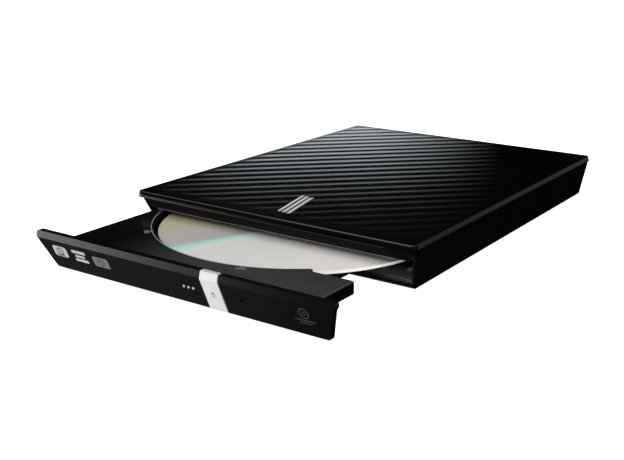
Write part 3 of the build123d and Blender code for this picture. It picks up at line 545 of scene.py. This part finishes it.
# format marks at the bezel's left: a ringed plate, three bars, a dim plate
relief(
    "format_mark_ring", [rounded_box(-63.3, -55.7, 6.9, 11.6, 1.1)], [], on_face,
    pale_mark, "tray", "pale_mark")
relief(
    "format_mark_bars",
    [rounded_box(-52.4, -45.0, 10.3, 11.7, 0.4), rounded_box(-51.2, -45.9, 8.6, 9.6, 0.3),
     rounded_box(-51.8, -44.6, 6.7, 8.0, 0.4)],
    [], on_face, pale_mark, "tray", "pale_mark")
relief(
    "format_mark_plate", [rounded_box(-41.3, -33.0, 6.7, 11.1, 0.7)], [], on_face,
    dim_mark, "tray", "pale_mark")
relief(
    "format_mark_inlay",
    [ellipse(-59.5, 9.3, 0.45, 0.45, steps=16)],
    [(ellipse(-59.5, 9.3, 1.6, 1.5), 0.45, True), (ellipse(-37.2, 8.9, 1.5, 1.3), 0.4, True),
     ([(-62.0, 7.5), (-57.0, 7.5)], 0.35, False)],
    on_face, grey_mark, "tray", "grey_mark", 0.03, 0.04)

# faint mark at the right: a plain disc, a ring round a ring, over two bars
relief(
    "disc_mark",
    [rounded_box(53.4, 61.8, 6.9, 7.5, 0.2, 2), rounded_box(55.2, 60.0, 5.9, 6.4, 0.2, 2)],
    [(ellipse(57.6, 10.1, 1.9, 1.9), 0.45, True), (ellipse(57.6, 10.1, 0.7, 0.7), 0.35, True)],
    on_face, grey_mark, "tray", "grey_mark")

# the usual eject sign on the strip
relief(
    "eject_sign",
    [[(17.3, 7.9), (19.7, 7.9), (18.5, 9.4)], rounded_box(17.3, 19.7, 6.8, 7.4, 0.1, 2)],
    [], on_strip, icon_grey, "button", "grey_mark", -0.05, 0.08)

# badge on the lid: three slanting bars
BADGE_START, BADGE_END = (-4.6, 31.5), (1.6, 4.7)
BADGE_SIDE = (5.2, 3.9)


def badge_bar(low, high, first, last):
    """Outline of one bar, from `low` to `high` across the badge and first to last along it."""
    run = (BADGE_END[0] - BADGE_START[0], BADGE_END[1] - BADGE_START[1])
    return [
        (BADGE_START[0] + BADGE_SIDE[0] * side + run[0] * way,
         BADGE_START[1] + BADGE_SIDE[1] * side + run[1] * way)
        for side, way in ((low, last), (high, last), (high, first), (low, first))
    ]


badge = relief(
    "lid_badge_bars",
    [badge_bar(0.0, 0.2, 0.0, 0.86), badge_bar(0.38, 0.6, 0.07, 0.93),
     badge_bar(0.78, 1.0, 0.14, 1.0)],
    [], on_lid, silver, "case", "silver", -0.12, 0.28)
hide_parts("lid_badge")

# painted highlight: a light line where the recess edge catches the light, laid on as a trim, not a
# part of its own
relief(
    "recess_rim_highlight", [], [(ellipse(0, DISC_Y, 62.55, 62.55, 178, 302, 60), 0.4, False)], on_deck,
    highlight_grey, "tray", "black_satin", -0.04, 0.09)


def trim_bar(name, stations, material, body):
    """Slim rounded bar along X through stations of (x, y, z, half depth, half height)."""
    sides = 10
    points, faces = [], []
    for x, y, z, half_y, half_z in stations:
        for k in range(sides):
            angle = 2 * math.pi * k / sides
            points.append((x, y + half_y * math.cos(angle), z + half_z * math.sin(angle)))
    for ring in range(len(stations) - 1):
        for k in range(sides):
            a, b = ring * sides + k, ring * sides + (k + 1) % sides
            faces.append((a, b, b + sides, a + sides))
    faces.append(tuple(range(sides)))
    faces.append(tuple(reversed(range(len(points) - sides, len(points)))))
    return mesh_piece(name, points, faces, material, body, 60.0)


# lip under the fascia, drawn as a light bar for the painted highlight along its edge, a little
# thicker at its left end
trim_bar("slot_lip_highlight", [
    (-60.3, 2.75, 13.5, 0.1, 0.06), (-60.1, 2.75, 13.55, 0.2, 0.24),
    (-58.9, 2.75, 13.55, 0.2, 0.24), (-58.5, 2.75, 13.5, 0.16, 0.14),
    (59.9, 2.75, 13.5, 0.16, 0.14), (60.1, 2.75, 13.5, 0.1, 0.06),
], lip_highlight_grey, "case")
# edge of the shield, showing under the lid at the left, drawn as a light bar for its painted
# highlight
trim_bar("shield_edge_highlight", [
    (-66.6, 2.5, 17.3, 0.1, 0.06), (-66.3, 2.5, 17.3, 0.25, 0.14), (-60.2, 2.5, 17.3, 0.25, 0.14),
    (-60.1, 2.5, 17.1, 0.25, 0.34), (-59.7, 2.5, 17.1, 0.25, 0.34), (-59.6, 2.5, 17.3, 0.25, 0.14),
    (-52.4, 2.5, 17.3, 0.22, 0.1), (-52.2, 2.5, 17.3, 0.1, 0.05),
], highlight_grey, "case")


def build_ribbon():
    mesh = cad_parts["flex_cable"].data.copy()
    mesh.name = "ribbon_cable"
    piece = bpy.data.objects.new("ribbon_cable", mesh)
    bpy.context.scene.collection.objects.link(piece)
    paint(piece, ribbon_film)
    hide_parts("flex_cable")
    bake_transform(piece)


build_ribbon()


# ---- studio -------------------------------------------------------------------------------------
scene = bpy.context.scene
scene.view_settings.view_transform = "Standard"

CAMERA_PLACE = (0.23603, -0.34768, 0.13167)
CAMERA_LOOK = Vector((-0.52887, 0.793755, -0.300416))
FLOOR_REACH = 15.0
KEY_PLACE = Vector((-0.25, -0.8, 0.75))

camera_data = bpy.data.cameras.new("camera")
camera = bpy.data.objects.new("camera", camera_data)
scene.collection.objects.link(camera)
camera.location = CAMERA_PLACE
camera.rotation_mode = "QUATERNION"
camera.rotation_quaternion = CAMERA_LOOK.to_track_quat("-Z", "Y")
camera_data.sensor_width = 36.0
camera_data.lens = 56.82
camera_data.shift_x = -0.0714
camera_data.clip_start = 0.01
camera_data.clip_end = 100.0
scene.camera = camera

floor_mesh = bpy.data.meshes.new("floor")
floor_mesh.from_pydata(
    [(side_x * FLOOR_REACH, side_y * FLOOR_REACH, 0)
     for side_x, side_y in ((-1, -1), (1, -1), (1, 1), (-1, 1))],
    [], [(0, 1, 2, 3)])
floor = bpy.data.objects.new("floor", floor_mesh)
scene.collection.objects.link(floor)
paint(floor, finish(
    "floor_paper", (0.86, 0.86, 0.86), 0.9, mottle=0.01, patch=300.0, grain=3.0,
    Emission_Color=(1, 1, 1, 1), Emission_Strength=1.0, Specular_IOR_Level=0.0))
floor.visible_glossy = False


def studio_world():
    """White to the camera; to the object, a soft ceiling, side cards and a dark wall behind."""
    world = bpy.data.worlds.new("studio")
    scene.world = world
    world.use_nodes = True
    tree = world.node_tree
    tree.nodes.clear()
    links = tree.links
    direction = add(tree, "ShaderNodeTexCoord").outputs["Generated"]
    total = None

    def operate(operation, first, second=None):
        made = add(tree, "ShaderNodeMath", operation=operation)
        links.new(first, made.inputs[0])
        if isinstance(second, float):
            made.inputs[1].default_value = second
        elif second is not None:
            links.new(second, made.inputs[1])
        return made.outputs[0]

    def along(axis):
        dot = add(tree, "ShaderNodeVectorMath", operation="DOT_PRODUCT")
        dot.inputs[1].default_value = axis
        links.new(direction, dot.inputs[0])
        return dot.outputs["Value"]

    def ease(value, start, end):
        """0 at `start` degrees, 1 at `end`."""
        level = add(tree, "ShaderNodeMapRange", {
            "From Min": math.radians(start), "From Max": math.radians(end),
            "To Min": 0.0, "To Max": 1.0,
        }, interpolation_type="SMOOTHSTEP")
        links.new(value, level.inputs["Value"])
        return level.outputs["Result"]

    height = operate("ARCSINE", along((0, 0, 1)))

    def card(bearing, full, gone, rise, fall, strength, tint=(1, 1, 1), sharpness=1.0):
        """Soft card at a compass bearing (0 behind the case, 90 to its right), `full` degrees
        wide to each side and gone at `gone`; it comes in over `rise` and goes over `fall`."""
        nonlocal total
        turn = math.radians(bearing)
        away = operate("ARCTAN2", along((math.cos(turn), -math.sin(turn), 0)),
                       along((math.sin(turn), math.cos(turn), 0)))
        level = ease(operate("ABSOLUTE", away), gone, full)
        for edge in (rise, fall):
            if edge:
                share = ease(height, *edge) if edge is rise else ease(height, edge[1], edge[0])
                level = operate("MULTIPLY", level, operate("POWER", share, sharpness))
        scaled = add(tree, "ShaderNodeVectorMath", operation="SCALE")
        scaled.inputs[0].default_value = [c * strength for c in tint]
        links.new(level, scaled.inputs["Scale"])
        if total is None:
            total = scaled.outputs[0]
            return
        joined = add(tree, "ShaderNodeVectorMath", operation="ADD")
        links.new(total, joined.inputs[0])
        links.new(scaled.outputs[0], joined.inputs[1])
        total = joined.outputs[0]

    # ceiling, from the front and from behind
    card(180, 75, 150, (28, 50), None, 1.5)
    card(0, 60, 120, (50, 70), None, 0.35)
    # cool glow behind the lid's back corner
    card(-36, 2, 11, (-4, 2), (10.4, 15.2), 1.55, (0.86, 0.95, 1.0), 2.0)
    # left, right and front
    card(-105, 35, 55, (10, 25), (40, 60), 0.3)
    card(75, 55, 75, (10, 25), (40, 60), 0.3)
    card(180, 60, 90, (18, 30), (40, 60), 0.35)
    # low strips at the front left and the back right
    card(-117, 2, 28, (-9, -3), (5, 9), 5.0)
    card(27, 8, 16, (-4, 0), (5, 9), 0.22)
    # from below, on the case's front corner and on the bezel
    card(116, 8, 24, (-62, -45), (-25, -8), 1.2)
    card(-100, 10, 40, (-60, -45), (-30, -15), 0.1)
    shade = add(tree, "ShaderNodeBackground")
    links.new(total, shade.inputs["Color"])
    white = add(tree, "ShaderNodeBackground", {"Color": (1, 1, 1, 1)})
    path = add(tree, "ShaderNodeLightPath")
    mix = add(tree, "ShaderNodeMixShader")
    links.new(path.outputs["Is Camera Ray"], mix.inputs["Fac"])
    links.new(shade.outputs[0], mix.inputs[1])
    links.new(white.outputs[0], mix.inputs[2])
    output = add(tree, "ShaderNodeOutputWorld")
    links.new(mix.outputs[0], output.inputs["Surface"])


studio_world()

key_data = bpy.data.lights.new("front_softbox", "AREA")
key_data.shape = "SQUARE"
key_data.size = 0.9
key_data.energy = 5.0
key = bpy.data.objects.new("front_softbox", key_data)
scene.collection.objects.link(key)
key.location = KEY_PLACE
key.rotation_euler = KEY_PLACE.to_track_quat("Z", "Y").to_euler()
key.visible_camera = False
